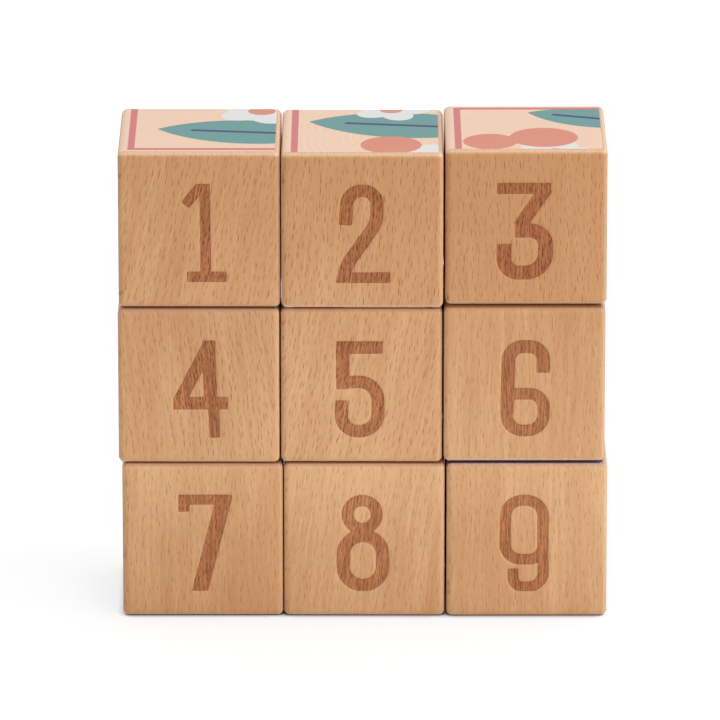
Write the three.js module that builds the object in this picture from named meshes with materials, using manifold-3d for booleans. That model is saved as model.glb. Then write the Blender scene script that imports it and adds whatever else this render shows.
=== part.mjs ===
// Cube puzzle: nine loose beech blocks, stacked by hand as a wall of three by three, numerals to the front.
// Millimetres, +Z up. The numerals face -Y. The origin is on the table, under the middle of the wall.

import * as THREE from 'three';
import { RoundedBoxGeometry } from 'three/addons/geometries/RoundedBoxGeometry.js';
import { mergeVertices } from 'three/addons/utils/BufferGeometryUtils.js';
import Module from 'manifold-3d';

const wasm = await Module();
wasm.setup();

// The blocks
const BLOCK_SIZE = 45; // edge of a cube
const EDGE_RADIUS = 1.6; // sanded rounding of edges and corners
const COLUMN_GAP = 0.3; // between columns that stand side by side
const STACK_GAP = 0.3; // least, between a block and the one that it stands on

// The numerals, burnt into the front faces
const NUMERAL_HEIGHT = 28.5;
const NUMERAL_WIDTH = 16.4;
const NUMERAL_DROP = 0.8; // below the middle of the face
const STROKE_WIDTH = 3.4;
const BURN_DEPTH = 0.25;

// How finely rounded parts are cut up
const ROUNDING_STEPS = 3; // for each edge
const FILLET_STEPS = 5; // for each radian
const FEWEST_FILLET_STEPS = 2;

// How far the numeral's cutter stands out of the face, and points closer than this are one
const CUTTER_OVERSHOOT = 1;
const SAME_POINT = 1e-6;

// How the blocks were set down: to the right, to the back, turned to the left in degrees, and how far each
// stands above its row, where the one below isn't quite flat
const PLACEMENT = [
  { number: 1, right: 0, back: 0.6, turn: 0, rise: 0 },
  { number: 2, right: 0, back: 0, turn: 0, rise: 0 },
  { number: 3, right: 0.1, back: 1.5, turn: 0.4, rise: 0.6 },
  { number: 4, right: -0.3, back: 0, turn: 0, rise: 0 },
  { number: 5, right: -0.2, back: 0.4, turn: 0, rise: 0 },
  { number: 6, right: -0.15, back: 0, turn: 0.4, rise: 0.5 },
  { number: 7, right: 0.5, back: 0, turn: 0.3, rise: 0 },
  { number: 8, right: 0.6, back: 0, turn: 0, rise: 0 },
  { number: 9, right: 0.7, back: 0, turn: 0.4, rise: 0 },
];

const COLUMNS = 3;
const ROWS = 3;

// The strokes of each numeral. A stroke's middle line runs through corner points: across and up, in shares of
// its half width and half height, and then the corner's radius, in shares of that half width.
// Weight is the stroke's width in shares of the usual one, and a ring comes back to its first point.
const NUMERALS = {
  1: [
    { weight: 0.86, points: [[-0.59, 0.64], [0.24, 1.2], [0.29, -1]] },
    { weight: 0.9, points: [[-0.52, -1.01], [1.17, -1.01]] },
  ],
  2: [
    {
      weight: 1.08,
      points: [
        [-0.72, 0.2], [-0.62, 1, 0.66], [0.64, 1, 0.64], [0.62, 0.26, 1.1], [-0.64, -0.7, 0.8], [-0.87, -1.2],
      ],
    },
    { weight: 0.94, points: [[-0.95, -1.02], [1.21, -1.01]] },
  ],
  3: [
    { weight: 0.95, points: [[-1.28, 0.97], [1.05, 0.97]] },
    { weight: 1.12, points: [[0.85, 0.98], [-0.31, 0.08]] },
    {
      weight: 1.22,
      points: [[-0.5, 0], [0.83, 0, 0.9], [0.83, -0.98, 0.95], [-0.95, -0.98, 0.88], [-0.95, -0.31]],
    },
  ],
  4: [
    { weight: 1.08, points: [[0.43, 1.2], [0.5, -0.3]] },
    { weight: 0.88, points: [[0.61, -0.2], [0.69, -1.2]] },
    { weight: 1.08, points: [[0.41, 0.6], [0.376, 0.958], [-0.83, -0.28]] },
    { weight: 1.08, points: [[-1.09, -0.335], [1.27, -0.325]] },
  ],
  5: [
    { weight: 1.1, points: [[0.91, 0.965], [-0.81, 0.965], [-0.81, 0.12]] },
    {
      weight: 1.08,
      points: [[-1.09, 0.13], [0.71, 0.2, 0.85], [0.71, -0.99, 0.85], [-0.86, -0.99, 0.8], [-0.86, -0.27]],
    },
  ],
  6: [
    { weight: 1.12, points: [[0.8, 0.35], [0.8, 0.96, 0.6], [-0.68, 0.96, 0.6], [-0.76, -0.6]] },
    {
      weight: 1,
      ring: true,
      points: [[-0.76, -0.14, 0.45], [0.82, -0.14, 0.6], [0.82, -1, 0.7], [-0.76, -1, 0.68]],
    },
  ],
  7: [
    { weight: 0.9, points: [[-0.81, 0.73], [-0.81, 1.02], [0.9, 1.02]] },
    { weight: 1.3, points: [[0.97, 1.16], [-0.17, -1.2]] },
  ],
  8: [
    {
      weight: 0.98,
      ring: true,
      points: [[-0.72, 1, 0.62], [0.53, 1, 0.62], [0.53, 0.34, 0.62], [-0.72, 0.34, 0.62]],
    },
    {
      weight: 1.1,
      ring: true,
      points: [[-0.91, 0.17, 0.85], [0.79, 0.17, 0.85], [0.79, -1, 0.85], [-0.91, -1, 0.85]],
    },
  ],
  9: [
    {
      weight: 0.94,
      ring: true,
      points: [[-0.92, 1.01, 0.72], [0.69, 1.01, 0.72], [0.71, -0.38, 0.6], [-0.92, -0.38, 0.66]],
    },
    { weight: 0.9, points: [[0.71, 0], [0.73, -1.03, 0.75], [-0.58, -1.03, 0.5], [-0.58, -0.6]] },
  ],
};

const BEECH_COLOUR = 0xcd9d73;
const BEECH_ROUGHNESS = 0.6;

// A solid made of a geometry's triangles, with its shared corners merged.
function solidOf(geometry) {
  const bare = geometry.clone();
  bare.deleteAttribute('normal');
  bare.deleteAttribute('uv');
  const merged = mergeVertices(bare);
  const vertProperties = new Float32Array(merged.attributes.position.array);
  const triVerts = new Uint32Array(merged.index.array);
  return new wasm.Manifold(new wasm.Mesh({ numProp: 3, vertProperties, triVerts }));
}

// A geometry made of a solid's triangles.
function geometryOf(solid) {
  const mesh = solid.getMesh();
  const geometry = new THREE.BufferGeometry();
  geometry.setAttribute('position', new THREE.BufferAttribute(new Float32Array(mesh.vertProperties), 3));
  geometry.setIndex(new THREE.BufferAttribute(new Uint32Array(mesh.triVerts), 1));
  geometry.computeVertexNormals();
  return geometry;
}

// The middle line of a stroke: straight runs, with each inner corner rounded by an arc that touches both.
function middleLine({ points, ring }) {
  const halfWidth = (NUMERAL_WIDTH - STROKE_WIDTH) / 2;
  const halfHeight = (NUMERAL_HEIGHT - STROKE_WIDTH) / 2;
  const corners = points.map(([across, up]) => new THREE.Vector2(across * halfWidth, up * halfHeight));
  const count = corners.length;
  const line = [];
  corners.forEach((corner, i) => {
    const radius = (points[i][2] ?? 0) * halfWidth;
    if (radius === 0) {
      line.push(corner);
      return;
    }
    const toLast = corners[(i + count - 1) % count].clone().sub(corner);
    const toNext = corners[(i + 1) % count].clone().sub(corner);
    const opening = Math.acos(toLast.clone().normalize().dot(toNext.clone().normalize()));
    // A fillet takes up at most half of each run, so that it leaves room for the next one.
    const reach = Math.min(radius / Math.tan(opening / 2), toLast.length() / 2, toNext.length() / 2);
    const start = toLast.setLength(reach).add(corner);
    const end = toNext.setLength(reach).add(corner);
    const arcRadius = reach * Math.tan(opening / 2);
    const middle = start.clone().add(end).divideScalar(2).sub(corner);
    const centre = middle.setLength(arcRadius / Math.sin(opening / 2)).add(corner);
    const from = start.clone().sub(centre);
    const sweep = Math.PI - opening;
    const side = Math.sign(from.cross(end.clone().sub(centre)));
    const steps = Math.max(FEWEST_FILLET_STEPS, Math.round(FILLET_STEPS * sweep));
    for (let k = 0; k <= steps; k += 1) {
      line.push(from.clone().rotateAround(new THREE.Vector2(), (side * sweep * k) / steps).add(centre));
    }
  });
  // Two fillets that share one run meet in one point, which is kept once.
  return line.filter((point, i) => {
    const last = line[(i + line.length - 1) % line.length];
    return (i === 0 && !ring) || point.distanceTo(last) > SAME_POINT;
  });
}

// The flat outline of a stroke: its middle line moved half a width to either side, with mitred corners.
function strokeShape(stroke) {
  const line = middleLine(stroke);
  const half = (stroke.weight * STROKE_WIDTH) / 2;
  const count = line.length;
  const left = [];
  const right = [];
  line.forEach((point, i) => {
    const atStart = i === 0 && !stroke.ring;
    const atEnd = i === count - 1 && !stroke.ring;
    const into = point.clone().sub(line[(i + count - 1) % count]).normalize();
    const out = line[(i + 1) % count].clone().sub(point).normalize();
    const before = atStart ? out : into;
    const after = atEnd ? into : out;
    const mitre = before.clone().add(after).normalize();
    const sideways = new THREE.Vector2(-mitre.y, mitre.x).multiplyScalar(half / mitre.dot(before));
    left.push(point.clone().add(sideways));
    right.push(point.clone().sub(sideways));
  });
  if (!stroke.ring) return new THREE.Shape(left.concat(right.reverse()));
  const [outer, inner] = Math.abs(THREE.ShapeUtils.area(left)) > Math.abs(THREE.ShapeUtils.area(right))
    ? [left, right]
    : [right, left];
  const shape = new THREE.Shape(outer);
  shape.holes.push(new THREE.Path(inner.reverse()));
  return shape;
}

// The body that burns a numeral into the front face: its strokes joined, trimmed to the numeral's own box.
function numeralCutter(number) {
  const depth = BURN_DEPTH + CUTTER_OVERSHOOT;
  const strokes = NUMERALS[number].map((stroke) => {
    const prism = new THREE.ExtrudeGeometry(strokeShape(stroke), { depth, bevelEnabled: false });
    return solidOf(prism);
  });
  const joined = strokes.reduce((whole, stroke) => whole.add(stroke));
  const box = new THREE.BoxGeometry(NUMERAL_WIDTH, NUMERAL_HEIGHT, depth).translate(0, 0, depth / 2);
  const flat = geometryOf(joined.intersect(solidOf(box)));
  // The strokes were drawn in X and Y, and now stand up in X and Z, reaching out of the front face.
  flat.rotateX(Math.PI / 2);
  flat.translate(0, BURN_DEPTH - BLOCK_SIZE / 2, -NUMERAL_DROP);
  return solidOf(flat);
}

// One block, around its own middle: a cube with rounded edges and its numeral.
function blockGeometry(number) {
  const cube = new RoundedBoxGeometry(BLOCK_SIZE, BLOCK_SIZE, BLOCK_SIZE, ROUNDING_STEPS, EDGE_RADIUS);
  return geometryOf(solidOf(cube).subtract(numeralCutter(number)));
}

// Sanded beech under a thin satin lacquer.
function beech() {
  return new THREE.MeshStandardMaterial({ color: BEECH_COLOUR, roughness: BEECH_ROUGHNESS, metalness: 0 });
}

// The wall: block 1 is at the top left, and block 9 at the bottom right.
function buildWall() {
  const wall = new THREE.Group();
  PLACEMENT.forEach(({ number, right, back, turn, rise }, i) => {
    const column = (i % COLUMNS) - (COLUMNS - 1) / 2;
    const level = ROWS - 1 - Math.floor(i / COLUMNS);
    const block = new THREE.Mesh(blockGeometry(number), beech());
    block.name = `block_${number}`;
    const standing = level * (BLOCK_SIZE + STACK_GAP) + BLOCK_SIZE / 2 + rise;
    block.position.set(column * (BLOCK_SIZE + COLUMN_GAP) + right, back, standing);
    block.rotation.z = THREE.MathUtils.degToRad(turn);
    wall.add(block);
  });
  // The blocks don't stand quite in line, so the middle of the wall is found from its box.
  const middle = new THREE.Box3().setFromObject(wall).getCenter(new THREE.Vector3());
  wall.position.set(-middle.x, -middle.y, 0);
  return wall;
}

export default buildWall();
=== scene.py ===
import math

import bpy
import numpy as np
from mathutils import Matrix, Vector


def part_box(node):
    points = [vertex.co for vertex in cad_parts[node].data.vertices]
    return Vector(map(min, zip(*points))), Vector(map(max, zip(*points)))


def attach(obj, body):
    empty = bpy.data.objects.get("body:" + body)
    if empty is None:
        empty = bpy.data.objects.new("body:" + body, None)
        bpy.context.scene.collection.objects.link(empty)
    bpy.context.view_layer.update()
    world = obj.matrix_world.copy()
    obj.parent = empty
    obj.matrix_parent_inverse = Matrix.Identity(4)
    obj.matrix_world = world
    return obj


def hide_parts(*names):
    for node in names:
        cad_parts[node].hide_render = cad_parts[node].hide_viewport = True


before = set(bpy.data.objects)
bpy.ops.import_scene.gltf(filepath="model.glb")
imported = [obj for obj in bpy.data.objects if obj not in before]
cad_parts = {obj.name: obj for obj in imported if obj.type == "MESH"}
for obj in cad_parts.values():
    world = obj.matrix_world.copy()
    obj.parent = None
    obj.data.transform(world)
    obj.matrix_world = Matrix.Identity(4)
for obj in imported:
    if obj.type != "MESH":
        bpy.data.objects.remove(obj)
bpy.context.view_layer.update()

# Cube puzzle: nine solid beech blocks stacked as a wall, with burnt numerals and printed pictures.
# Shapes and patterns are worked out in millimetres on each block and placed in metres in the CAD frame.

MM = 0.001
BLOCK_NUMBERS = range(1, 10)
COLUMNS = 3
ROWS = 3

# The block's form, the same sizes as the solids have
BLOCK_SIZE = 45.0
ROUNDING = 1.6
BURN_DEPTH = 0.25
HALF = BLOCK_SIZE / 2
FLAT = HALF - ROUNDING

# How finely a face is divided, the slope of the burn's sides, and how unevenly the edges are sanded
FLAT_CELLS = 88
ROUND_STEPS = 4
BURN_EDGE = 0.22
SANDING = 0.05
SANDING_MEAN = 0.5
SANDING_SWING = 0.25
SANDING_WAVES = (((0.31, 0.23, 0.27), 1.0), ((-0.83, 0.71, 0.64), 2.3))

# Each face's directions: to the right, up, and outwards, for someone who looks at it
FACES = {
    "front": ((1, 0, 0), (0, 0, 1), (0, -1, 0)),
    "right": ((0, 1, 0), (0, 0, 1), (1, 0, 0)),
    "back": ((-1, 0, 0), (0, 0, 1), (0, 1, 0)),
    "left": ((0, -1, 0), (0, 0, 1), (-1, 0, 0)),
    "top": ((1, 0, 0), (0, 1, 0), (0, 0, 1)),
    "bottom": ((1, 0, 0), (0, -1, 0), (0, 0, -1)),
}
SHEET_COLUMNS = 3
SHEET_ROWS = 2
SHEET_MARGIN = 0.012

# The print: how far it stays from a block's sides, which blocks differ, and how far down a rounding it goes
PRINT_MARGINS = {"top": 1.35, "bottom": 1.7, "left": 1.9, "right": 1.9, "back": 1.9}
TOP_LEFT_MARGIN = 0.4
TOP_FRONT_MARGIN = 4.6
TOP_PRINT_SHORT = (4, 5, 6, 7, 8)
BOTTOM_MARGIN_WIDE = 0.6
BOTTOM_PRINT_WIDE = (2, 3, 6)
PRINT_SINK = 0.6

# The line round each whole picture, and the distance past which an ink no longer matters
BORDER_INSET = 2.7
BORDER_WIDTH = 1.9
PICTURE_HALF = BLOCK_SIZE * COLUMNS / 2
FAR = 4.0

# Each block's wood: lean of the fibre in degrees, how light and how red it is, how much lighter towards
# its lower end (negative on the lowest row: a painted shade, darker near the floor), how marked its flecks
# are,
# and a redder streak: its place across, its width and strength
WOOD = {
    1: {"lean": 11, "light": -0.24, "red": 0.0, "fade": 0.13, "fleck": 1.25, "streak": (6, 14, 0.2)},
    2: {"lean": 4, "light": -0.25, "red": -0.1, "fade": 0.14, "fleck": 1.3, "streak": (14, 9, 0.7)},
    3: {"lean": -1, "light": -0.46, "red": 0.2, "fade": 0.16, "fleck": 1.25, "streak": (-2, 16, 0.3)},
    4: {"lean": -6, "light": -0.07, "red": -0.25, "fade": 0.10, "fleck": 1.15, "streak": (-12, 10, 0.5)},
    5: {"lean": 10, "light": 0.0, "red": 0.0, "fade": 0.11, "fleck": 1.2, "streak": (8, 12, 0.2)},
    6: {"lean": 1, "light": -0.11, "red": 0.0, "fade": 0.14, "fleck": 0.8, "streak": (15, 10, 0.3)},
    7: {"lean": 0, "light": -0.11, "red": -0.2, "fade": -0.25, "fleck": 0.9, "streak": (15, 8, 0.8)},
    8: {"lean": 7, "light": 0.03, "red": -0.4, "fade": -0.23, "fleck": 0.85, "streak": (15, 11, 0.6)},
    9: {"lean": 0, "light": 0.01, "red": 0.0, "fade": -0.17, "fleck": 0.8, "streak": (-13, 9, 0.5)},
}

# Where on the board a block is cut, how a streak sways and shades, and where the tree's heart lies
BOARD_STEP = (131.0, 57.0, 83.0)
STREAK_SWAY = 1.5
STREAK_WAVE = 17
STREAK_SHADE = 0.15
HEART_DISTANCE = 62.0
HEART_DIRECTION = 218
HEART_TURN = 137

# Soft steps on the outward direction's part up, down or to the right: for painted highlight and painted
# shade on the roundings (the highlight partly also sanded wear), and for end grain, which is also deepened
# as painted shade where a block lies against it
PAINTED_LIGHT_STEP = (0.1, 0.5)
LOWER_HIGHLIGHT_END = (0.65, 0.9)
RIGHT_HIGHLIGHT = 0.5
CORNER_HIGHLIGHT = 0.6
END_GRAIN = (0.5, 0.9)
CROWN_OPEN = (0.93, 1.0)
# the end grain where a block lies against the face, darkened further as painted shade
CROWN_HIDDEN = (0.8, 1.0)
CROWN_HIDDEN_SHADE = 1.9


# Shapes for the printed pictures: each gives the distance outside a shape, negative within, in millimetres

def oval(x, y, middle, radii):
    """An ellipse. With k the length of the point measured in radii and g that of the point over the radii
    squared, the distance is about k (k - 1) / g."""
    dx, dy = x - middle[0], y - middle[1]
    k = np.hypot(dx / radii[0], dy / radii[1])
    g = np.hypot(dx / radii[0] ** 2, dy / radii[1] ** 2) + 1e-9
    return np.where(k < 1e-6, -min(radii), k * (k - 1) / g)


def disc(x, y, middle, radius):
    """A disc: the distance to its middle, less its radius."""
    return np.hypot(x - middle[0], y - middle[1]) - radius


def leaf(x, y, base, tip, width):
    """A pointed leaf: what two equal discs share whose rims both pass through its base and its tip."""
    along = np.subtract(tip, base)
    length = np.hypot(*along)
    radius = (length ** 2 / 4 + width ** 2 / 4) / width
    ux, uy = along / length
    dx, dy = x - (base[0] + tip[0]) / 2, y - (base[1] + tip[1]) / 2
    u, v = dx * ux + dy * uy, np.abs(dy * ux - dx * uy)
    return np.hypot(u, v + radius - width / 2) - radius


def stroke(x, y, points, width):
    """A line with round ends: the distance to a chain of points' nearest piece, less half the width."""
    nearest = np.full(np.shape(x), np.inf)
    for (ax, ay), (bx, by) in zip(points[:-1], points[1:]):
        lx, ly = bx - ax, by - ay
        t = np.clip(((x - ax) * lx + (y - ay) * ly) / (lx * lx + ly * ly), 0, 1)
        nearest = np.minimum(nearest, np.hypot(x - ax - t * lx, y - ay - t * ly))
    return nearest - width / 2


def blossom(x, y, middle, size):
    """A flower of five petals: a disc whose radius swells and shrinks five times on the way round."""
    dx, dy = x - middle[0], y - middle[1]
    swell = np.abs(np.cos(5 / 2 * np.arctan2(dy, dx)))
    return (np.hypot(dx, dy) - size * (0.68 + 0.32 * swell)) * 0.8


def polygon(x, y, corners):
    """A shape with straight sides and no hollow corner, corners counter-clockwise: the greatest of the
    distances outside its sides."""
    outside = np.full(np.shape(x), -np.inf)
    for (ax, ay), (bx, by) in zip(corners, corners[1:] + corners[:1]):
        length = math.hypot(bx - ax, by - ay)
        outside = np.maximum(outside, ((x - ax) * (by - ay) - (y - ay) * (bx - ax)) / length)
    return outside


def cloud(x, y, middle, size):
    """A cloud: three discs in a row, cut off flat below."""
    mx, my = middle
    puffs = [
        disc(x, y, (mx - 0.8 * size, my), 0.55 * size),
        disc(x, y, (mx, my + 0.25 * size), 0.8 * size),
        disc(x, y, (mx + 0.85 * size, my), 0.5 * size),
    ]
    return np.maximum(union(puffs), my - 0.3 * size - y)


def union(shapes):
    """All of the shapes together: the least of their distances."""
    return np.minimum.reduce(shapes)


def cut(shape, hole):
    """A shape with another taken out of it: the greater of its distance and the other's, turned round."""
    return np.maximum(shape, -hole)


# The five pictures, each over three by three blocks, with its middle at (0, 0)

def garden_picture(x, y):
    """Two sprigs, one above the other: leaves on both sides of their stems, with berries and blossoms."""
    leaves = [
        ((-6, -50), (-57, -44), 23), ((-6, 2), (-60, 9), 25), ((-6, 48), (-44, 60), 18),
        ((6, -43), (56, -34), 20), ((6, 2), (58, 8), 22), ((4, 50), (38, 61), 15),
    ]
    berries = [
        ((-37, -14), 8.5), ((-55, 31), 7.5), ((-40, 35), 9.5),
        ((45, 38), 8), ((52, -50), 8), ((31, 43), 6),
    ]
    flowers = [((-28, -26), 13), ((-37, 21), 11), ((30, -57), 9), ((52, -10), 10)]
    hearts = [disc(x, y, middle, 0.3 * size) for middle, size in flowers]
    ribs = [[base, np.add(base, np.multiply(np.subtract(tip, base), 0.8))] for base, tip, _ in leaves]
    stems = [[(4, -58), (-1, -40), (-2, -10), (1, 17)], [(1, 34), (0, 48), (-3, 63)]]
    twig = [(25, 25.6), (64, 25.6)]
    lines = [stroke(x, y, line, 1.8) for line in ribs]
    lines += [stroke(x, y, line, 2.6) for line in stems]
    lines += [stroke(x, y, twig, 4.4)]
    return {
        "teal": union([leaf(x, y, *shape) for shape in leaves]),
        "white": union([blossom(x, y, *shape) for shape in flowers]),
        "coral": union([disc(x, y, *shape) for shape in berries] + hearts),
        "navy": union(lines),
    }


def hills_picture(x, y):
    """Rolling hills with trees, a low sun and clouds."""
    hill_line = -24 + 9 * np.sin(x / 21 + 0.6)
    trees = [((-44, 6), (9, 15)), ((-27, 0), (7, 12)), ((40, -2), (9, 16))]
    trunks = [[(mx, my - 20), (mx, my)] for (mx, my), _ in trees]
    path = [(6, -62), (-4, -48), (10, -38), (2, -27)]
    return {
        "teal": union([(y - hill_line) * 0.9] + [oval(x, y, *shape) for shape in trees]),
        "white": union([cloud(x, y, (-34, 44), 11), cloud(x, y, (22, 50), 8), stroke(x, y, path, 5)]),
        "coral": cut(disc(x, y, (12, 12), 19), (hill_line - y)),
        "navy": union([stroke(x, y, line, 2.2) for line in trunks]),
    }


def boat_picture(x, y):
    """A sailing boat on waves under a sun."""
    sea_line = -34 + 3.5 * np.abs(np.sin(x / 9))
    wave_places = ((-46, -46), (-8, -52), (40, -47), (18, -60))
    crests = [[(mx - 7, my), (mx, my + 2.5), (mx + 7, my)] for mx, my in wave_places]
    mast = [(0, -14), (0, 57)]
    mainsail = [(3, -6), (44, -6), (3, 52)]
    jib = [(-30, -6), (-3, -6), (-3, 40)]
    hull = [(-28, -36), (30, -36), (46, -13), (-44, -13)]
    return {
        "teal": union([(y - sea_line) * 0.9, polygon(x, y, jib)]),
        "white": union([polygon(x, y, mainsail), cloud(x, y, (-46, 44), 8)]),
        "coral": union([polygon(x, y, hull), disc(x, y, (50, 48), 10)]),
        "navy": union([stroke(x, y, mast, 2.6)] + [stroke(x, y, line, 1.8) for line in crests]),
    }


def toadstool_picture(x, y):
    """A spotted toadstool in tall grass."""
    spots = union([disc(x, y, *s) for s in (((-22, 24), 7), ((5, 38), 8.5), ((27, 22), 6.5), ((2, 17), 5))])
    cap = np.maximum(oval(x, y, (0, 8), (47, 42)), 8 - y)
    rim = [(-44, 8), (44, 8)]
    stalk = [(-15, -48), (15, -48), (11, 9), (-11, 9)]
    blades = [
        ((-58, -62), (-48, -14), 11), ((-44, -62), (-36, -30), 10), ((-30, -62), (-26, -20), 10),
        ((30, -62), (24, -26), 10), ((44, -62), (50, -8), 12), ((58, -62), (60, -34), 9),
    ]
    ground = y + 52
    gills = [[(mx, 6), (mx * 0.8, 0)] for mx in (-8, -3, 3, 8)]
    return {
        "teal": union([leaf(x, y, *shape) for shape in blades] + [ground]),
        "white": union([np.maximum(polygon(x, y, stalk), -49 - y), spots]),
        "coral": cut(cap, spots),
        "navy": union([stroke(x, y, line, 1.6) for line in gills] + [stroke(x, y, rim, 2)]),
    }


def balloon_picture(x, y):
    """A striped balloon with its basket, among clouds."""
    envelope = disc(x, y, (0, 18), 40)
    wide, narrow = oval(x, y, (0, 18), (26, 40)), oval(x, y, (0, 18), (10, 40))
    ropes = [[(-21, -15), (-7, -46)], [(21, -15), (7, -46)], [(0, -22), (0, -46)]]
    basket = [(-7, -58), (7, -58), (9, -45), (-9, -45)]
    return {
        "teal": union([narrow, cloud(x, y, (-44, -40), 10)]),
        "white": union([cut(wide, narrow), cloud(x, y, (46, -28), 9)]),
        "coral": cut(envelope, wide),
        "navy": union([polygon(x, y, basket)] + [stroke(x, y, line, 1.6) for line in ropes]),
    }


PICTURES = {
    "top": garden_picture,
    "back": hills_picture,
    "left": boat_picture,
    "right": toadstool_picture,
    "bottom": balloon_picture,
}
INKS = ("teal", "white", "coral", "border", "navy")


def picture_cell(face, number):
    """Which of the nine parts of a face's picture a block has, as (column, row from the bottom)."""
    across, down = (number - 1) % COLUMNS, (number - 1) // COLUMNS
    up = ROWS - 1 - down
    if face == "top":
        return down, across
    if face == "bottom":
        return up, across
    if face == "back":
        return COLUMNS - 1 - across, up
    return across, up


# The block's surface

def face_lines():
    """Places of the grid lines across a face: even steps over the flat part, and on each side steps that
    turn evenly through 45 degrees of the rounding, each past the flat part by the rounding times the
    tangent of its turn."""
    turns = np.radians(np.linspace(0, 45, ROUND_STEPS + 1)[1:])
    outer = FLAT + ROUNDING * np.tan(turns)
    return np.concatenate([-outer[::-1], np.linspace(-FLAT, FLAT, FLAT_CELLS + 1), outer])


def rounded_cube():
    """The six faces' points and outward directions, as two arrays (face, across, up, xyz) in millimetres.
    A point of the sharp cube goes to the nearest point of the cube inside the roundings, and from there out
    again by the rounding's radius in the same direction."""
    lines = face_lines()
    across, up = np.meshgrid(lines, lines, indexing="ij")
    axes = np.array(list(FACES.values()), float)
    sharp = (across[None, :, :, None] * axes[:, None, None, 0]
             + up[None, :, :, None] * axes[:, None, None, 1]
             + HALF * axes[:, None, None, 2])
    inner = np.clip(sharp, -FLAT, FLAT)
    away = sharp - inner
    away /= np.linalg.norm(away, axis=-1, keepdims=True)
    return inner + ROUNDING * away, away


def sew(points):
    """One index for each grid point, the same where two faces' edges meet, the first grid point of each
    index, and the corners of the quads."""
    keys = np.round(points.reshape(-1, 3), 4) + 0.0
    _, first, shared = np.unique(keys, axis=0, return_index=True, return_inverse=True)
    grid = shared.reshape(points.shape[:3])
    quads = np.stack([grid[:, :-1, :-1], grid[:, 1:, :-1], grid[:, 1:, 1:], grid[:, :-1, 1:]], axis=-1)
    return grid, first, quads.reshape(-1, 4)


def bake_map(count):
    """Where each quad's corners lie on the flat sheet for baking: the six faces in three columns of two,
    each face's grid spread evenly over its share less a thin margin."""
    steps = np.linspace(SHEET_MARGIN, 1 - SHEET_MARGIN, count)
    u, v = np.meshgrid(steps, steps, indexing="ij")
    sheet = np.stack([u, v], axis=-1)
    place = np.array([(k % SHEET_COLUMNS, k // SHEET_COLUMNS) for k in range(len(FACES))], float)
    faces = (sheet[None] + place[:, None, None]) / np.array([SHEET_COLUMNS, SHEET_ROWS], float)
    corners = [faces[:, :-1, :-1], faces[:, 1:, :-1], faces[:, 1:, 1:], faces[:, :-1, 1:]]
    return np.stack(corners, axis=3).reshape(-1, 2)


def solid_triangles(name):
    """The corners of a CAD solid's triangles, as an array (triangle, corner, xyz) in millimetres."""
    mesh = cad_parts[name].data
    places = np.empty(len(mesh.vertices) * 3)
    mesh.vertices.foreach_get("co", places)
    order = np.empty(len(mesh.loops), np.int32)
    mesh.loops.foreach_get("vertex_index", order)
    return places.reshape(-1, 3)[order].reshape(-1, 3, 3) / MM


def facing_forwards(corners):
    """Each triangle's direction, as long as twice its area, and whether it faces straight forwards."""
    facing = np.cross(corners[:, 1] - corners[:, 0], corners[:, 2] - corners[:, 0])
    return facing, facing[:, 1] < -0.99 * np.linalg.norm(facing, axis=1)


def block_place(name):
    """A block's middle in millimetres and its turn about the upright axis, from its CAD solid: the turn is
    that of the front face, the mean direction of the triangles that face forwards."""
    lowest, highest = (np.array(corner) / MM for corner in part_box(name))
    facing, forwards = facing_forwards(solid_triangles(name))
    ahead = facing[forwards].sum(axis=0)
    return (lowest + highest) / 2, math.atan2(ahead[0], -ahead[1])


def turned(points, angle):
    """Points turned about the upright axis by an angle."""
    c, s = math.cos(angle), math.sin(angle)
    return points @ np.array([[c, s, 0], [-s, c, 0], [0, 0, 1]])


def numeral_outline(name, middle, angle):
    """The burnt numeral's outline on a block's front, as line pieces (piece, end, across and up): the sides
    of the recess floor's triangles that belong to one triangle alone."""
    corners = turned(solid_triangles(name) - middle, -angle)
    _, forwards = facing_forwards(corners)
    sunk = corners[:, :, 1].mean(axis=1) > BURN_DEPTH / 2 - HALF
    floor = np.round(corners[forwards & sunk][:, :, [0, 2]], 3)
    sides = np.stack([floor, np.roll(floor, -1, axis=1)], axis=2).reshape(-1, 2, 2)
    swap = (sides[:, 0, 0] > sides[:, 1, 0]) | (
        (sides[:, 0, 0] == sides[:, 1, 0]) & (sides[:, 0, 1] > sides[:, 1, 1]))
    sides[swap] = sides[swap][:, ::-1]
    pieces, uses = np.unique(sides.reshape(-1, 4), axis=0, return_counts=True)
    pieces = pieces[uses == 1].reshape(-1, 2, 2)
    return pieces[np.any(pieces[:, 0] != pieces[:, 1], axis=1)]


def outline_distance(x, y, outline):
    """Distance outside an outline, negative within: the distance to its nearest piece, within where a line
    to the right crosses it an odd number of times."""
    px, py = x.reshape(-1, 1), y.reshape(-1, 1)
    (ax, ay), (bx, by) = outline[:, 0].T, outline[:, 1].T
    lx, ly = bx - ax, by - ay
    t = np.clip(((px - ax) * lx + (py - ay) * ly) / (lx * lx + ly * ly), 0, 1)
    nearest = np.hypot(px - ax - t * lx, py - ay - t * ly).min(axis=1)
    spans = (ay > py) != (by > py)
    reach = ax + lx * (py - ay) / np.where(ly == 0, 1, ly)
    within = (spans & (px < reach)).sum(axis=1) % 2 == 1
    return np.where(within, -nearest, nearest).reshape(x.shape)


def smooth(values, low, high):
    """A soft step from 0 at low to 1 at high: 3 t squared less 2 t cubed."""
    t = np.clip((values - low) / (high - low), 0, 1)
    return t * t * (3 - 2 * t)


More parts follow.
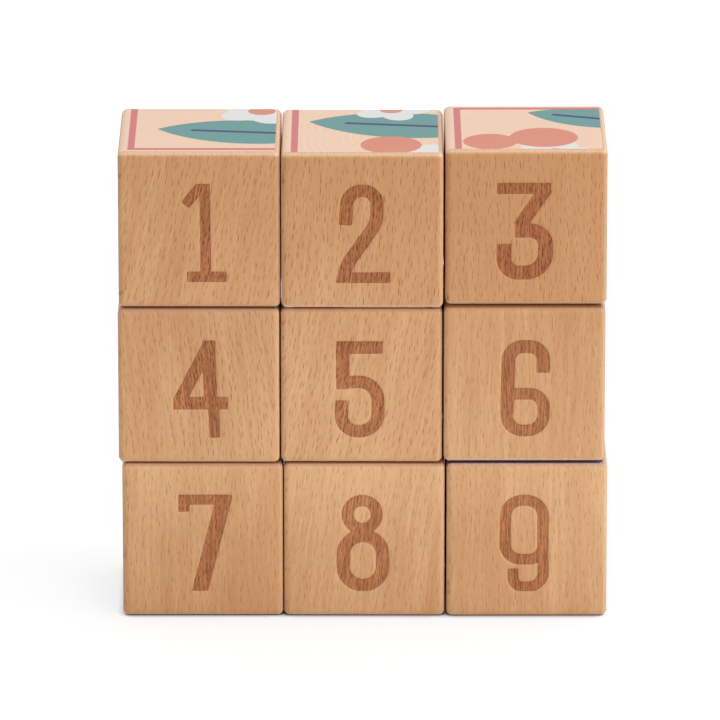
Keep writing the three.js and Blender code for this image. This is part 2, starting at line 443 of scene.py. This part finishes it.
def print_fields(points, number):
    """For every point, the distance outside the peach wash and outside each ink, in millimetres. A face's
    print is a square a margin in from the sides; off it, the wash is measured straight to the square."""
    fields = {name: np.full(points.shape[:3], FAR) for name in ("wash", *INKS)}
    for index, face in enumerate(FACES):
        if face not in PRINT_MARGINS:
            continue
        right, up, out = (np.array(axis, float) for axis in FACES[face])
        margin = PRINT_MARGINS[face]
        if face == "bottom" and number in BOTTOM_PRINT_WIDE:
            margin = BOTTOM_MARGIN_WIDE
        square = HALF - margin
        beside = np.abs(points @ right) - square
        above = np.abs(points @ up) - square
        if face == "top":
            beside = np.maximum(points @ right - square, TOP_LEFT_MARGIN - HALF - points @ right)
        if face == "top" and number in TOP_PRINT_SHORT:
            above = np.maximum(above, TOP_FRONT_MARGIN - HALF - points @ up)
        below = HALF - points @ out
        off = np.sqrt(np.maximum(beside, 0) ** 2 + np.maximum(above, 0) ** 2 + below ** 2)
        on_print = np.maximum(beside, above)
        here = np.where((on_print < 0) & (below < PRINT_SINK), on_print, off)
        fields["wash"] = np.minimum(fields["wash"], here)
        column, row = picture_cell(face, number)
        x = points[index] @ right + BLOCK_SIZE * (column - (COLUMNS - 1) / 2)
        y = points[index] @ up + BLOCK_SIZE * (row - (ROWS - 1) / 2)
        inks = PICTURES[face](x, y)
        line_middle = PICTURE_HALF - BORDER_INSET - BORDER_WIDTH / 2
        inks["border"] = np.abs(np.maximum(np.abs(x), np.abs(y)) - line_middle) - BORDER_WIDTH / 2
        for name, distance in inks.items():
            fields[name][index] = np.minimum(FAR, np.maximum(distance, on_print[index]))
    return fields


def grain_coordinates(points, number):
    """The fibre's own coordinates: leaning with the block's grain, and from another part of the board for
    each block. A side face is laid out beside the front, by adding the depth to the place across."""
    grain = points + np.array(BOARD_STEP) * number
    grain[..., 0] += points[..., 1] - points[..., 2] * math.tan(math.radians(WOOD[number]["lean"]))
    return grain


def wood_fields(points, number):
    """How light, red and flecked the wood is at each point, lighter or darker towards the lower end (on the
    lowest row a painted shade, darker near the floor), with a streak that falls off as a bell curve to both
    sides of a swaying line, and the distance from the heart of the tree, for the rings."""
    wood = WOOD[number]
    place, width, strength = wood["streak"]
    sway = place + STREAK_SWAY * np.sin(points[..., 2] / STREAK_WAVE + number)
    streak = strength * np.exp(-((points[..., 0] - sway) / width) ** 2)
    towards = math.radians(HEART_DIRECTION + HEART_TURN * (number - 1))
    heart = HEART_DISTANCE * np.array([math.cos(towards), math.sin(towards)])
    return {
        # the fade term: lighter towards the lower end on the upper rows; on the lowest row it is painted
        # shade, darker near the floor
        "light": wood["light"] - wood["fade"] * points[..., 2] / HALF - STREAK_SHADE * streak,
        "red": wood["red"] + streak,
        "rings": np.hypot(points[..., 0] - heart[0], points[..., 1] - heart[1]),
        "fleck": np.full(streak.shape, wood["fleck"]),
    }


def edge_fields(away, rounded, number):
    """Light and shade painted by the shape, as soft steps on the outward direction: paler roundings, a
    painted highlight on the top row's upper roundings, on right-hand roundings and on the visible part of
    lower roundings, partly also sanded wear; duller, pinker upper roundings under another block, a painted
    shade; crown for the brown of end grain, deepened as painted shade where a block lies against it; and end
    where the cut across the fibre shows."""
    rightwards, upwards = away[..., 0], away[..., 2]
    upper_rounding = rounded * smooth(upwards, *PAINTED_LIGHT_STEP)
    facing_right = smooth(rightwards, *PAINTED_LIGHT_STEP)
    # painted highlight on lower roundings, taken away again on their lowest part so that it keeps its shade,
    # and on right-hand roundings; partly also sanded wear
    lower_highlight = smooth(-upwards, *PAINTED_LIGHT_STEP) * (1 - smooth(-upwards, *LOWER_HIGHLIGHT_END))
    highlight_and_wear = rounded * np.maximum(lower_highlight, RIGHT_HIGHLIGHT * facing_right)
    # painted shade on the upper roundings that lie under another block
    groove_shade = upper_rounding
    # painted shade: the end grain's brown deepened where a block lies against the face
    crown = CROWN_HIDDEN_SHADE * smooth(np.abs(upwards), *CROWN_HIDDEN)
    if number <= COLUMNS:
        # the top row: painted highlight on the upper roundings, more at the right-hand corner, partly also
        # sanded wear
        highlight_and_wear = np.maximum(highlight_and_wear, upper_rounding) + CORNER_HIGHLIGHT * upper_rounding * facing_right
        groove_shade = np.zeros_like(upper_rounding)
        crown = np.where(upwards > 0, smooth(upwards, *CROWN_OPEN), crown)
    end = smooth(np.abs(upwards), *END_GRAIN)
    return {"highlight_and_wear": highlight_and_wear, "groove_shade": groove_shade, "crown": crown, "end": end}


def add_block(number, material):
    """One block: the rounded cube with its edges sanded a little unevenly, the numeral sunk into its front
    by the burn's depth, and the fields that the material reads."""
    name = f"block_{number}"
    middle, angle = block_place(name)
    points, away = rounded_cube()
    grid, first, quads = sew(points)
    rounded = smooth(1 - np.abs(away).max(axis=-1), 0.0, 0.25)
    ripple = sum(np.sin(points @ np.array(wave) + turn * number) for wave, turn in SANDING_WAVES)
    points = points - away * (SANDING * rounded * (SANDING_MEAN + SANDING_SWING * ripple))[..., None]
    fields = print_fields(points, number)
    fields.update(wood_fields(points, number))
    fields.update(edge_fields(away, rounded, number))
    grain = grain_coordinates(points, number)

    front = list(FACES).index("front")
    outline = numeral_outline(name, middle, angle)
    burn = outline_distance(points[front, :, :, 0], points[front, :, :, 2], outline)
    fields["burn"] = np.full(rounded.shape, FAR)
    fields["burn"][front] = np.minimum(FAR, burn)
    points[front, :, :, 1] += BURN_DEPTH * smooth(-burn, -BURN_EDGE, BURN_EDGE)

    placed = (turned(points.reshape(-1, 3)[first], angle) + middle) * MM
    mesh = bpy.data.meshes.new(name + "_wood")
    mesh.from_pydata(placed, [], quads)
    mesh.polygons.foreach_set("use_smooth", np.ones(len(quads), bool))
    sheet = mesh.uv_layers.new(name="OFBake")
    sheet.data.foreach_set("uv", bake_map(points.shape[1]).astype(np.float32).ravel())
    for field, values in fields.items():
        least = np.full(len(first), np.inf)
        np.minimum.at(least, grid.ravel(), values.ravel())
        attribute = mesh.attributes.new(field, "FLOAT", "POINT")
        attribute.data.foreach_set("value", least.astype(np.float32))
    along = mesh.attributes.new("grain", "FLOAT_VECTOR", "POINT")
    along.data.foreach_set("vector", grain.reshape(-1, 3)[first].astype(np.float32).ravel())
    mesh.materials.append(material)
    mesh.update()
    block = bpy.data.objects.new(name + "_wood", mesh)
    bpy.context.scene.collection.objects.link(block)
    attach(block, name)
    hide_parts(name)


# Materials

def srgb(red, green, blue):
    """A colour given as it shows on a screen, 0 to 255, as Blender's linear numbers."""
    shown = np.array([red, green, blue]) / 255
    linear = np.where(shown <= 0.04045, shown / 12.92, ((shown + 0.055) / 1.055) ** 2.4)
    return (*linear.tolist(), 1.0)


WOOD_COLOURS = {
    "dark": srgb(189, 138, 92),
    "pale": srgb(227, 183, 137),
    "rosy": srgb(207, 145, 103),
    "latewood": srgb(168, 112, 72),
    "small_fleck": srgb(165, 110, 68),
    "large_fleck": srgb(148, 90, 48),
    # paler roundings: a painted highlight, partly also sanded wear
    "pale_highlight_and_wear": srgb(240, 209, 174),
    # painted shade on upper roundings under another block
    "groove_shade": srgb(186, 142, 124),
    # end grain's brown, also laid on strongly as painted shade where a block lies against a face
    "end_grain_and_shade": srgb(150, 98, 60),
}
BURN_COLOURS = {
    "scorch_dark": srgb(192, 156, 132),
    "scorch_pale": srgb(231, 199, 181),
    "dash": srgb(88, 48, 26),
    "rim": srgb(120, 70, 42),
}
INK_COLOURS = {
    "wash": srgb(246, 216, 194),
    "teal": srgb(112, 157, 156),
    "white": srgb(224, 225, 223),
    "coral": srgb(217, 145, 127),
    "navy": srgb(90, 91, 122),
    "border": srgb(209, 131, 131),
}

# How large the wood's patterns are: across, through and along the fibre, in millimetres
DRIFT_SIZE = (6, 6, 15)
BAND_SIZE = (6, 9, 140)
STREAK_SIZE = (1.2, 1.2, 32)
FIBRE_SIZE = (0.26, 0.26, 8)
CLOUD_SIZE = (11, 11, 24)
ROSY_SIZE = (2.4, 2.4, 70)
SINGE_SIZE = (0.4, 0.4, 9)
SPECK_SIZE = (0.3, 0.3, 0.4)
DRIFT = 0.8
RING_WIDTH = 2.1
RING_WOBBLE = 5.0

# Flecks: the cell that each has to itself, its half width and half length, and its least share of them
LARGE_FLECKS = ((1.6, 2.7), (0.28, 2.3), 0.5)
SMALL_FLECKS = ((0.85, 2.0), (0.15, 0.95), 0.35)
BURNT_DASHES = ((0.85, 1.9), (0.3, 1.6), 0.35)
FLECK_CORE = 0.05
FLECK_FAINTEST = 0.4

# How strongly each pattern shows
LIGHT_SHARES = {"cloudy": 0.35, "bands": 0.5, "streaks": 0.6, "fibre": 0.7}
LIGHT_RANGE = (0.4, 1.7)
ROSY_SHARE = 0.22
RED_SHARE = 0.35
RING_ON_END = 0.35
RING_ON_SIDE = 0.05
SMALL_FLECK_COVER = 0.4
LARGE_FLECK_COVER = 0.68
# painted highlight on the roundings, partly also sanded wear
HIGHLIGHT_AND_WEAR_COVER = 0.4
# painted shade on upper roundings under another block
GROOVE_SHADE_COVER = 0.5
# end grain, and painted shade where a block lies against it
CROWN_COVER = 0.45
DASH_COVER = 0.95
RIM_COVER = 0.25
RIM_WIDTH = 0.45
WASH_COVER = 0.85
SPILL_COVER = 0.45
INK_COVER = 0.97
RING_THROUGH_WASH = 0.25

# The finish: roughness of bare wood and what fibre, burn and print add, shine, and the depth of the relief
ROUGHNESS = 0.42
FIBRE_ROUGHNESS = 0.18
BURN_ROUGHNESS = 0.12
PRINT_ROUGHNESS = 0.2
SHINE = 0.3
PRINT_SHINE = -0.33
RELIEF_FIBRE = 0.8
RELIEF_STRENGTH = 0.25
RELIEF_DEPTH = 0.00008


class Nodes:
    """Adds nodes to one node tree. An input that is a socket is linked, and a plain value is set."""

    def __init__(self, tree):
        self.tree = tree
        tree.nodes.clear()

    def node(self, kind, inputs=(), **settings):
        node = self.tree.nodes.new(kind)
        for name, value in settings.items():
            setattr(node, name, value)
        for key, value in dict(inputs).items():
            if isinstance(value, bpy.types.NodeSocket):
                self.tree.links.new(value, node.inputs[key])
            else:
                node.inputs[key].default_value = value
        return node

    def add(self, kind, inputs=(), output=0, **settings):
        return self.node(kind, inputs, **settings).outputs[output]

    def field(self, name):
        return self.add("ShaderNodeAttribute", output="Fac", attribute_name=name)

    def math(self, operation, *values):
        return self.add("ShaderNodeMath", enumerate(values), operation=operation)

    def vector(self, operation, *values, output=0):
        return self.add("ShaderNodeVectorMath", enumerate(values), output, operation=operation)

    def step(self, value, low, high, start=0.0, end=1.0):
        inputs = {"Value": value, "From Min": low, "From Max": high, "To Min": start, "To Max": end}
        return self.add("ShaderNodeMapRange", inputs, interpolation_type="SMOOTHSTEP")

    def scaled(self, vector, x, y, z):
        return self.vector("MULTIPLY", vector, (1 / x, 1 / y, 1 / z))

    def noise(self, vector, size, fine=False):
        detail, roughness = (2.0, 0.6) if fine else (1.0, 0.5)
        scaled = self.scaled(vector, *size)
        inputs = {"Vector": scaled, "Scale": 1.0, "Detail": detail, "Roughness": roughness}
        return self.add("ShaderNodeTexNoise", inputs, output="Fac")

    def mix(self, factor, first, second, blend="MIX"):
        inputs = {0: factor, 6: first, 7: second}
        return self.add("ShaderNodeMix", inputs, output=2, data_type="RGBA", blend_type=blend)

    def lay(self, under, share, cover, over):
        return self.mix(self.math("MULTIPLY", share, cover), under, over)

    def seen(self):
        path = self.node("ShaderNodeLightPath").outputs
        straight = self.math("MAXIMUM", path["Is Camera Ray"], path["Is Glossy Ray"])
        return self.math("MAXIMUM", straight, path["Is Transmission Ray"])


def flecks(nodes, flat, cell, half, least):
    """Dark ray flecks: one spindle in each cell of a scattered pattern, its size and tone drawn by the cell.
    It fades with the distance from the cell's own point, measured in half widths and half lengths."""
    scaled = nodes.scaled(flat, *cell, 1)
    cells = nodes.node("ShaderNodeTexVoronoi", {"Vector": scaled, "Scale": 1.0}, voronoi_dimensions="2D")
    draw = nodes.node("ShaderNodeSeparateColor", {0: cells.outputs["Color"]}).outputs
    away = nodes.vector("SUBTRACT", scaled, cells.outputs["Position"])
    away = nodes.vector("MULTIPLY", away, (cell[0] / half[0], cell[1] / half[1], 0))
    share = nodes.vector("LENGTH", away, output="Value")
    size = nodes.math("MULTIPLY_ADD", draw[0], 1 - least, least)
    spindle = nodes.step(nodes.math("DIVIDE", share, size), FLECK_CORE, 1.0, 1.0, 0.0)
    tone = nodes.math("MULTIPLY_ADD", draw[1], 1 - FLECK_FAINTEST, FLECK_FAINTEST)
    return nodes.math("MULTIPLY", spindle, tone)


def growth_rings(nodes, cloudy, bands):
    """Dark latewood: the far part of each ring, where rings are counted off along the distance from the
    heart with a slow wobble. They show most on end grain, and fade in and out across it."""
    uneven = nodes.math("MULTIPLY_ADD", cloudy, RING_WOBBLE, nodes.field("rings"))
    ring = nodes.math("FRACT", nodes.math("DIVIDE", uneven, RING_WIDTH))
    share = nodes.math("MULTIPLY_ADD", nodes.field("end"), RING_ON_END, RING_ON_SIDE)
    latewood = nodes.math("MULTIPLY", nodes.step(ring, 0.45, 0.97), share)
    return nodes.math("MULTIPLY", latewood, nodes.step(bands, 0.38, 0.62, 0.25, 1.0))


def beech_material():
    """Sanded beech under a thin satin lacquer: fine fibre, short dark flecks, soft tone bands and rings,
    with the burnt numeral and the printed inks laid over it."""
    material = bpy.data.materials.new("beech_printed")
    material.use_nodes = True
    nodes = Nodes(material.node_tree)

    # The fibre's coordinates, drifting slowly to the side, and the same laid flat for the flecks
    grain = nodes.add("ShaderNodeAttribute", output="Vector", attribute_name="grain")
    drift = nodes.math("MULTIPLY_ADD", nodes.noise(grain, DRIFT_SIZE), 2 * DRIFT, -DRIFT)
    grain = nodes.vector("ADD", grain, nodes.add("ShaderNodeCombineXYZ", {0: drift}))
    parts = nodes.node("ShaderNodeSeparateXYZ", {0: grain}).outputs
    flat = nodes.add("ShaderNodeCombineXYZ", {0: parts[0], 1: parts[2]})

    # The patterns
    bands = nodes.noise(grain, BAND_SIZE)
    streaks = nodes.noise(grain, STREAK_SIZE, fine=True)
    fibre = nodes.noise(grain, FIBRE_SIZE, fine=True)
    cloudy = nodes.noise(grain, CLOUD_SIZE)
    side_grain = nodes.math("SUBTRACT", 1.0, nodes.field("end"))
    marked = nodes.math("MULTIPLY", nodes.field("fleck"), side_grain)
    large = nodes.math("MULTIPLY", flecks(nodes, flat, *LARGE_FLECKS), marked)
    small = nodes.math("MULTIPLY", flecks(nodes, flat, *SMALL_FLECKS), side_grain)
    latewood = growth_rings(nodes, cloudy, bands)

    # The wood's colour, with painted highlight and painted shade on its roundings and where blocks touch
    light = nodes.field("light")
    light = nodes.math("MULTIPLY_ADD", cloudy, LIGHT_SHARES["cloudy"], light)
    light = nodes.math("MULTIPLY_ADD", bands, LIGHT_SHARES["bands"], light)
    light = nodes.math("MULTIPLY_ADD", streaks, LIGHT_SHARES["streaks"], light)
    light = nodes.math("MULTIPLY_ADD", fibre, LIGHT_SHARES["fibre"], light)
    wood = nodes.mix(nodes.step(light, *LIGHT_RANGE), WOOD_COLOURS["dark"], WOOD_COLOURS["pale"])
    rosy = nodes.step(nodes.noise(grain, ROSY_SIZE), 0.42, 0.6)
    redness = nodes.math("MULTIPLY", nodes.field("red"), RED_SHARE)
    redness = nodes.math("MULTIPLY_ADD", rosy, ROSY_SHARE, redness)
    wood = nodes.mix(redness, wood, WOOD_COLOURS["rosy"])
    wood = nodes.mix(latewood, wood, WOOD_COLOURS["latewood"])
    wood = nodes.lay(wood, small, SMALL_FLECK_COVER, WOOD_COLOURS["small_fleck"])
    wood = nodes.lay(wood, large, LARGE_FLECK_COVER, WOOD_COLOURS["large_fleck"])
    # paler roundings: painted highlight, partly also sanded wear
    wood = nodes.lay(wood, nodes.field("highlight_and_wear"), HIGHLIGHT_AND_WEAR_COVER, WOOD_COLOURS["pale_highlight_and_wear"])
    # painted shade on the upper roundings that lie under another block
    wood = nodes.lay(wood, nodes.field("groove_shade"), GROOVE_SHADE_COVER, WOOD_COLOURS["groove_shade"])
    # end grain's brown, deepened as painted shade where a block lies against the face
    wood = nodes.lay(wood, nodes.field("crown"), CROWN_COVER, WOOD_COLOURS["end_grain_and_shade"])

    # The burnt numeral: a ragged edge, scorched wood with dark dashes along the fibre, and a darker rim
    burn = nodes.field("burn")
    ragged = nodes.math("MULTIPLY_ADD", fibre, 0.16, -0.08)
    burnt = nodes.step(nodes.math("ADD", burn, ragged), -0.12, 0.12, 1.0, 0.0)
    singe = nodes.step(nodes.noise(grain, SINGE_SIZE, fine=True), 0.35, 0.65)
    scorch = nodes.mix(singe, BURN_COLOURS["scorch_dark"], BURN_COLOURS["scorch_pale"])
    charred = nodes.mix(1.0, wood, scorch, "MULTIPLY")
    dashes = nodes.math("MULTIPLY", flecks(nodes, flat, *BURNT_DASHES), marked)
    charred = nodes.lay(charred, dashes, DASH_COVER, BURN_COLOURS["dash"])
    rim = nodes.step(burn, -RIM_WIDTH, 0.0, 0.0, RIM_COVER)
    charred = nodes.mix(rim, charred, BURN_COLOURS["rim"])
    colour = nodes.mix(burnt, wood, charred)

    # The print: a peach wash that lets the rings through and spills a little over the edges, then the inks
    wash = nodes.field("wash")
    speck = nodes.noise(grain, SPECK_SIZE, fine=True)
    spill = nodes.step(nodes.math("MULTIPLY_ADD", speck, 5.0, wash), 2.4, 4.0, SPILL_COVER, 0.0)
    inside = nodes.step(nodes.math("MULTIPLY_ADD", fibre, 0.3, wash), 0.05, 0.25, WASH_COVER, 0.0)
    through = nodes.math("MULTIPLY_ADD", latewood, -RING_THROUGH_WASH, 1.0)
    printed = nodes.math("MAXIMUM", spill, nodes.math("MULTIPLY", inside, through))
    colour = nodes.mix(printed, colour, INK_COLOURS["wash"])
    for ink in INKS:
        cover = nodes.step(nodes.field(ink), -0.10, 0.10, INK_COVER, 0.0)
        colour = nodes.mix(cover, colour, INK_COLOURS[ink])

    # The finish
    relief = nodes.math("MULTIPLY_ADD", large, -1.0, nodes.math("MULTIPLY", fibre, RELIEF_FIBRE))
    bump_inputs = {"Strength": RELIEF_STRENGTH, "Distance": RELIEF_DEPTH, "Height": relief}
    bump = nodes.add("ShaderNodeBump", bump_inputs, output="Normal")
    rough = nodes.math("MULTIPLY_ADD", burnt, BURN_ROUGHNESS, ROUGHNESS)
    rough = nodes.math("MULTIPLY_ADD", fibre, FIBRE_ROUGHNESS, rough)
    rough = nodes.math("MULTIPLY_ADD", printed, PRINT_ROUGHNESS, rough)
    shine = nodes.math("MULTIPLY_ADD", printed, PRINT_SHINE, SHINE)
    surface = nodes.add("ShaderNodeBsdfPrincipled", {
        "Base Color": colour,
        "Roughness": rough,
        "Normal": bump,
        "Specular IOR Level": shine,
    })
    nodes.node("ShaderNodeOutputMaterial", {"Surface": surface})
    return material


beech = beech_material()
for number in BLOCK_NUMBERS:
    add_block(number, beech)


# The studio: a white floor that keeps the shadow, an even sky, and soft lamps above, in front and right

FLOOR_HALF = 3.0
FLOOR_DROP = 0.00005
FLOOR_BOUNCE = (0.7, 0.7, 0.7, 1)
FLOOR_SHADE = (0.25, 0.25, 0.25, 1)
WHITE = (1, 1, 1, 1)

# The floor's own light: near the wall and far from it, with a little more behind it and to its right
GLOW_NEAR = 0.77
GLOW_FAR = 0.86
GLOW_DISTANCES = (0.2, 0.6)
GLOW_BEHIND = 0.07
BEHIND_PLACES = (0.02, 0.06)
GLOW_RIGHT = 0.03
RIGHT_PLACES = (0.04, 0.08)

# The shadow where the blocks touch the floor: how far it reaches, and the side that light comes from
CONTACT_REACH = 0.004
NEAR_REACH = 0.02
NEAR_SHADE = 0.96
LIGHT_SIDE = (0.4, 0.5, 0.77)


def floor_material():
    """Matt white for light that bounces; for the eye part of its light is its own, so that it is white where
    no shadow lies. That part is lessened close to the blocks, by how much of the sky a point there sees."""
    material = bpy.data.materials.new("studio_white")
    material.use_nodes = True
    nodes = Nodes(material.node_tree)
    bounce = nodes.add("ShaderNodeBsdfDiffuse", {"Color": FLOOR_BOUNCE})
    shade = nodes.add("ShaderNodeBsdfDiffuse", {"Color": FLOOR_SHADE})

    side = nodes.add("ShaderNodeCombineXYZ", enumerate(LIGHT_SIDE))
    sky = nodes.add("ShaderNodeAmbientOcclusion", {"Distance": CONTACT_REACH}, "AO")
    contact = nodes.add("ShaderNodeAmbientOcclusion", {"Distance": CONTACT_REACH, "Normal": side}, "AO")
    near = nodes.add("ShaderNodeAmbientOcclusion", {"Distance": NEAR_REACH, "Normal": side}, "AO")
    near = nodes.step(near, 0.3, 0.85, NEAR_SHADE, 1.0)
    shadow = nodes.math("MULTIPLY", nodes.step(contact, 0.0, 0.7), near)
    shadow = nodes.math("MULTIPLY", shadow, nodes.step(sky, 0.05, 0.35))

    place = nodes.add("ShaderNodeTexCoord", output="Object")
    parts = nodes.node("ShaderNodeSeparateXYZ", {0: place}).outputs
    away = nodes.vector("LENGTH", place, output="Value")
    strength = nodes.step(away, *GLOW_DISTANCES, GLOW_NEAR, GLOW_FAR)
    strength = nodes.math("ADD", strength, nodes.step(parts[1], *BEHIND_PLACES, 0.0, GLOW_BEHIND))
    strength = nodes.math("ADD", strength, nodes.step(parts[0], *RIGHT_PLACES, 0.0, GLOW_RIGHT))
    strength = nodes.math("MULTIPLY", shadow, strength)
    glow = nodes.add("ShaderNodeEmission", {"Color": WHITE, "Strength": strength})
    shown = nodes.add("ShaderNodeAddShader", {0: shade, 1: glow})
    surface = nodes.add("ShaderNodeMixShader", {0: nodes.seen(), 1: bounce, 2: shown})
    nodes.node("ShaderNodeOutputMaterial", {"Surface": surface})
    return material


floor_mesh = bpy.data.meshes.new("studio_floor")
corners = np.array([(-1, -1), (1, -1), (1, 1), (-1, 1)]) * FLOOR_HALF
floor_mesh.from_pydata(np.column_stack([corners, np.full(4, -FLOOR_DROP)]), [], [(0, 1, 2, 3)])
floor_mesh.materials.append(floor_material())
studio_floor = bpy.data.objects.new("studio_floor", floor_mesh)
bpy.context.scene.collection.objects.link(studio_floor)

WORLD_LIGHT = 0.72
world = bpy.data.worlds.new("studio")
bpy.context.scene.world = world
world.use_nodes = True
sky = Nodes(world.node_tree)
sky_strength = sky.math("MULTIPLY_ADD", sky.seen(), 1 - WORLD_LIGHT, WORLD_LIGHT)
sky_light = sky.add("ShaderNodeBackground", {"Color": WHITE, "Strength": sky_strength})
sky.node("ShaderNodeOutputWorld", {"Surface": sky_light})


def add_softbox(name, place, target, size, power):
    """A square lamp that faces a target point."""
    lamp = bpy.data.lights.new(name, "AREA")
    lamp.shape = "SQUARE"
    lamp.size = size
    lamp.energy = power
    softbox = bpy.data.objects.new(name, lamp)
    softbox.location = place
    towards = np.subtract(target, place)
    heading = math.atan2(-towards[0], towards[1])
    tilt = math.atan2(math.hypot(towards[0], towards[1]), -towards[2])
    softbox.rotation_euler = (tilt, 0, heading)
    softbox.visible_camera = False
    bpy.context.scene.collection.objects.link(softbox)


WALL_MIDDLE = (0, 0, 0.068)
add_softbox("softbox_above", (0.035, 0.07, 1.5), WALL_MIDDLE, size=0.22, power=3.0)
add_softbox("softbox_front", (0.9, -1.5, 0.8), WALL_MIDDLE, size=1.0, power=10.2)
add_softbox("softbox_right", (1.2, -0.5, 0.4), WALL_MIDDLE, size=0.6, power=5.0)

# The camera, where the photograph was taken from; the lens and the sensor are in millimetres
CAMERA_TARGET = (-0.00096, 0.0, 0.0682)
CAMERA_DISTANCE = 2.52
CAMERA_PITCH = math.radians(17.71)
CAMERA_HEADING = math.radians(0.2)
FOCAL_LENGTH = 447.7
SENSOR_WIDTH = 36
SIGHT_END = 20

camera_data = bpy.data.cameras.new("camera")
camera_data.lens = FOCAL_LENGTH
camera_data.sensor_width = SENSOR_WIDTH
camera_data.clip_end = SIGHT_END
camera = bpy.data.objects.new("camera", camera_data)
level = CAMERA_DISTANCE * math.cos(CAMERA_PITCH)
camera.location = (
    CAMERA_TARGET[0] + level * math.sin(CAMERA_HEADING),
    CAMERA_TARGET[1] - level * math.cos(CAMERA_HEADING),
    CAMERA_TARGET[2] + CAMERA_DISTANCE * math.sin(CAMERA_PITCH),
)
camera.rotation_euler = (math.pi / 2 - CAMERA_PITCH, 0, CAMERA_HEADING)
bpy.context.scene.collection.objects.link(camera)
bpy.context.scene.camera = camera
bpy.context.scene.view_settings.view_transform = "Standard"
